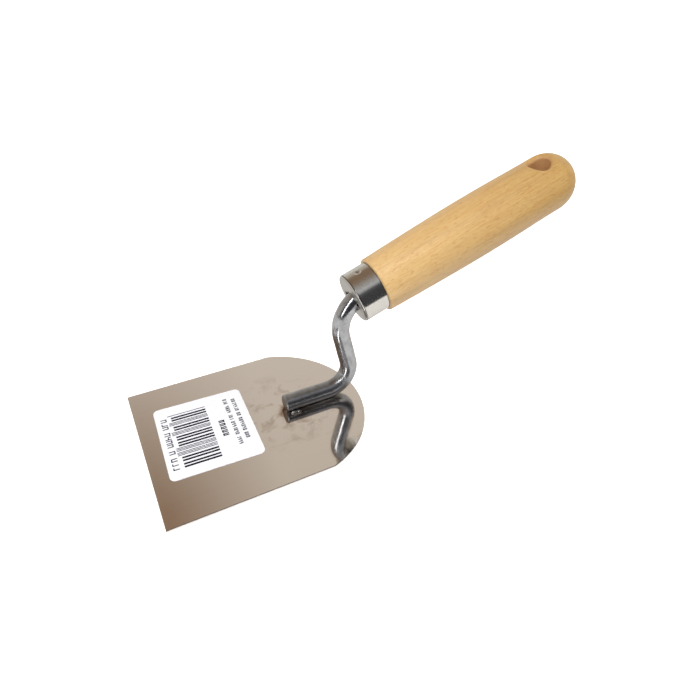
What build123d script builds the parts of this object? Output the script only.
from build123d import *
import math
import os

# A round-heel plasterer's trowel: a thin flat blade, a bent round tang welded on top of it,
# and a turned beech handle with a steel ferrule. Millimetres, +X from toe to handle, +Z up.
# The origin is the centre of the blade's working face, which lies on z = 0.

# Blade
BLADE_LENGTH = 100.0
BLADE_WIDTH = 80.0
BLADE_THICKNESS = 1.2
HEEL_RADIUS = 41.6  # the heel is one arc that meets the sides at a slight corner
BLADE_EDGE_BREAK = 0.2

# Tang: one round rod with two bends
ROD_RADIUS = 4.0
ROD_FLAT_DEPTH = 0.2  # worn flat by the weld where the rod lies on the blade
TANG_FRONT_X = 13.5
TANG_END_CHAMFER = 0.5
LOWER_CORNER_X = 49.2
UPPER_CORNER_STATION = -8.95  # on the handle axis, before the ferrule's face
LOWER_BEND_RADIUS = 11.2
UPPER_BEND_RADIUS = 17.4
TANG_TAIL = 52.0  # from the ferrule's front face to the start of the point
TANG_POINT = 7.0
TANG_POINT_RADIUS = 1.5

# Weld beads, in the crease each side of the rod
WELD_X = (16.4, 19.0)
WELD_RADIUS = 1.3
WELD_BRIDGE_RADIUS = 1.05
WELD_OFFSET = 3.7

# Handle axis: through the centre of the ferrule's front face
AXIS_TILT = 20.0
FERRULE_X = 47.0
FERRULE_RISE = 51.5

# Ferrule: a deep-drawn steel cup with a punched mouth for the rod
FERRULE_RADIUS = 11.15
FERRULE_LENGTH = 12.0
FERRULE_SHEET = 0.8
FERRULE_NOSE_RADIUS = 1.2
MOUTH_WIDTH = 8.7
MOUTH_HEIGHT = 9.6
MOUTH_DROP = 1.1  # the rod is still bending where it passes the face
MOUTH_EAR_SPAN = 12.6
MOUTH_EAR_HEIGHT = 2.4
DENT_STATION = 6.3
DENT_BALL_RADIUS = 2.6
DENT_DEPTH = 0.6

# Handle
WOOD_STATIONS = ((12.0, 12.4), (36.0, 13.15), (61.0, 13.65), (85.0, 13.5), (104.3, 13.25))
WOOD_START_SLOPE = 0.04
SHOULDER_ROUND = 0.6
POCKET_RADIUS = 6.5
POCKET_END = 7.6
TANG_BORE_END = 60.0
HANG_HOLE_STATION = 101.5
HANG_HOLE_RADIUS = 5.0
HANG_MOUTH_ROUND = 1.6

# How near an edge must lie to a stated radius to be picked
MATCH_TOLERANCE = 0.05

# Label on the blade
LABEL_LENGTH = 40.0
LABEL_WIDTH = 43.6
LABEL_THICKNESS = 0.1
LABEL_CORNER_RADIUS = 2.5
LABEL_X = -22.3
LABEL_Y = 2.3
LABEL_TURN = -2.4

TILT = math.radians(AXIS_TILT)
FERRULE_FACE = Vector(FERRULE_X, 0, BLADE_THICKNESS + FERRULE_RISE)
AXIS = Vector(math.cos(TILT), 0, math.sin(TILT))
ACROSS = Vector(-math.sin(TILT), 0, math.cos(TILT))
ROD_HEIGHT = BLADE_THICKNESS + ROD_RADIUS - ROD_FLAT_DEPTH


def on_axis(station):
    """A plane across the handle axis, its x pointing up and its z towards the butt."""
    return Plane(origin=FERRULE_FACE + AXIS * station, x_dir=ACROSS, z_dir=AXIS)


def along_axis(start, end, radius):
    """A round bar on the handle axis between two stations."""
    bar = Cylinder(radius, end - start, align=(Align.CENTER, Align.CENTER, Align.MIN))
    return on_axis(start) * bar


def blade():
    """Flat plate with square toe corners and a rounded heel."""
    half = BLADE_WIDTH / 2
    toe = -BLADE_LENGTH / 2
    heel = BLADE_LENGTH / 2
    corner = heel - HEEL_RADIUS + math.sqrt(HEEL_RADIUS**2 - half**2)
    sides = Polyline((corner, -half), (toe, -half), (toe, half), (corner, half))
    arc = ThreePointArc((corner, half), (heel, 0), (corner, -half))
    plate = extrude(make_face(sides + arc), amount=BLADE_THICKNESS)
    top = plate.faces().sort_by(Axis.Z)[-1]
    return chamfer(top.edges(), BLADE_EDGE_BREAK)


def tang():
    """Round rod: flat on the blade, up through an S, then straight into the handle."""
    front = Vector(TANG_FRONT_X, 0, ROD_HEIGHT)
    heel = Vector(LOWER_CORNER_X, 0, ROD_HEIGHT)
    top = FERRULE_FACE + AXIS * UPPER_CORNER_STATION
    tail = FERRULE_FACE + AXIS * TANG_TAIL
    middle = (heel + top) / 2
    foot = FilletPolyline(front, heel, middle, radius=LOWER_BEND_RADIUS)
    neck = FilletPolyline(middle, top, tail, radius=UPPER_BEND_RADIUS)
    spine = Wire(list(foot.edges()) + list(neck.edges()))
    section = Plane(origin=front, z_dir=(1, 0, 0)) * Circle(ROD_RADIUS)
    rod = sweep(section, path=spine)
    rod = chamfer(rod.faces().sort_by(Axis.X)[0].edges(), TANG_END_CHAMFER)
    point = Cone(ROD_RADIUS, TANG_POINT_RADIUS, TANG_POINT, align=(Align.CENTER, Align.CENTER, Align.MIN))
    rod = rod + on_axis(TANG_TAIL) * point
    under = Box(BLADE_LENGTH, BLADE_WIDTH, BLADE_THICKNESS, align=(Align.CENTER, Align.CENTER, Align.MIN))
    return rod - under


def weld(side):
    """Two beads in the crease between rod and blade, on one side of the rod."""
    high = ROD_RADIUS
    room = Box(BLADE_LENGTH, BLADE_WIDTH, high, align=(Align.CENTER, Align.CENTER, Align.MIN))
    room = Pos(0, 0, BLADE_THICKNESS) * room
    first, last = WELD_X
    crease = side * WELD_OFFSET
    beads = Pos(first, crease, BLADE_THICKNESS) * Sphere(WELD_RADIUS)
    beads = beads + Pos(last, crease, BLADE_THICKNESS) * Sphere(WELD_RADIUS)
    bridge = Cylinder(WELD_BRIDGE_RADIUS, last - first, rotation=(0, 90, 0))
    beads = beads + Pos((first + last) / 2, crease, BLADE_THICKNESS) * bridge
    rod = Cylinder(ROD_RADIUS, BLADE_LENGTH, rotation=(0, 90, 0))
    return (beads & room) - Pos(0, 0, ROD_HEIGHT) * rod


def ferrule():
    """Drawn cup over the end of the wood, closed but for the rod's eared mouth."""
    shell = along_axis(0, FERRULE_LENGTH, FERRULE_RADIUS)
    nose = shell.edges().filter_by(GeomType.CIRCLE).sort_by(Axis(FERRULE_FACE, AXIS))[0]
    shell = fillet(nose, FERRULE_NOSE_RADIUS)
    shell = shell - along_axis(FERRULE_SHEET, FERRULE_LENGTH, FERRULE_RADIUS - FERRULE_SHEET)
    mouth = Ellipse(MOUTH_HEIGHT / 2, MOUTH_WIDTH / 2)
    ears = Pos(MOUTH_DROP, 0) * Rectangle(MOUTH_EAR_HEIGHT, MOUTH_EAR_SPAN)
    opening = Pos(-MOUTH_DROP, 0) * (mouth + ears)
    shell = shell - on_axis(0) * extrude(opening, amount=FERRULE_SHEET)
    ball_height = FERRULE_RADIUS + DENT_BALL_RADIUS - DENT_DEPTH
    dent = on_axis(DENT_STATION) * Pos(ball_height, 0, 0) * Sphere(DENT_BALL_RADIUS)
    return shell - dent


def turned_blank():
    """The wood's outline, turned about the handle axis, with its spigot inside the ferrule."""
    spigot = FERRULE_RADIUS - FERRULE_SHEET
    shoulder, front = WOOD_STATIONS[0]
    last, back = WOOD_STATIONS[-1]
    base = Polyline((0, FERRULE_SHEET), (spigot, FERRULE_SHEET), (spigot, shoulder), (front, shoulder))
    points = [(radius, station) for station, radius in WOOD_STATIONS]
    body = Spline(points, tangents=[(WOOD_START_SLOPE, 1), (0, 1)])
    butt = CenterArc((0, last), back, start_angle=0, arc_size=90)
    close = Line((0, last + back), (0, FERRULE_SHEET))
    outline = make_face(base + body + butt + close)
    turned = revolve(Plane.XZ * outline, Axis.Z)
    return on_axis(0) * Rot(0, 0, 90) * turned


def handle():
    """Turned beech: softened shoulder, pocket and bore for the tang, cross hole for hanging."""
    wood = turned_blank()
    shoulder_radius = WOOD_STATIONS[0][1]
    rims = wood.edges().filter_by(GeomType.CIRCLE)
    rim = [edge for edge in rims if abs(edge.radius - shoulder_radius) < MATCH_TOLERANCE]
    wood = fillet(rim[:1], SHOULDER_ROUND)
    wood = wood - along_axis(FERRULE_SHEET, POCKET_END, POCKET_RADIUS)
    wood = wood - along_axis(POCKET_END, TANG_BORE_END, ROD_RADIUS)
    drill = Cylinder(HANG_HOLE_RADIUS, 4 * WOOD_STATIONS[-1][1], rotation=(0, 90, 0))
    wood = wood - on_axis(HANG_HOLE_STATION) * drill
    hole = on_axis(HANG_HOLE_STATION).origin
    mouths = [edge for edge in wood.edges() if is_mouth(edge, hole)]
    return fillet(mouths, HANG_MOUTH_ROUND)


def is_mouth(edge, hole):
    """True for an edge where the hanging hole breaks the wood's surface."""
    offset = edge.position_at(0.5) - hole
    rise = offset.dot(ACROSS)
    reach = (offset - ACROSS * rise).length
    return abs(reach - HANG_HOLE_RADIUS) < MATCH_TOLERANCE and abs(rise) > HANG_HOLE_RADIUS


def label():
    """Paper sticker on the blade, a little askew."""
    sheet = RectangleRounded(LABEL_LENGTH, LABEL_WIDTH, LABEL_CORNER_RADIUS)
    paper = extrude(sheet, amount=LABEL_THICKNESS)
    return Pos(LABEL_X, LABEL_Y, BLADE_THICKNESS) * Rot(0, 0, LABEL_TURN) * paper


def main():
    os.makedirs("parts", exist_ok=True)
    pieces = {
        "blade": blade(),
        "tang": tang(),
        "weld_left": weld(1),
        "weld_right": weld(-1),
        "ferrule": ferrule(),
        "handle": handle(),
        "label": label(),
    }
    for name, piece in pieces.items():
        export_step(piece, f"parts/{name}.step")


if __name__ == "__main__":
    main()
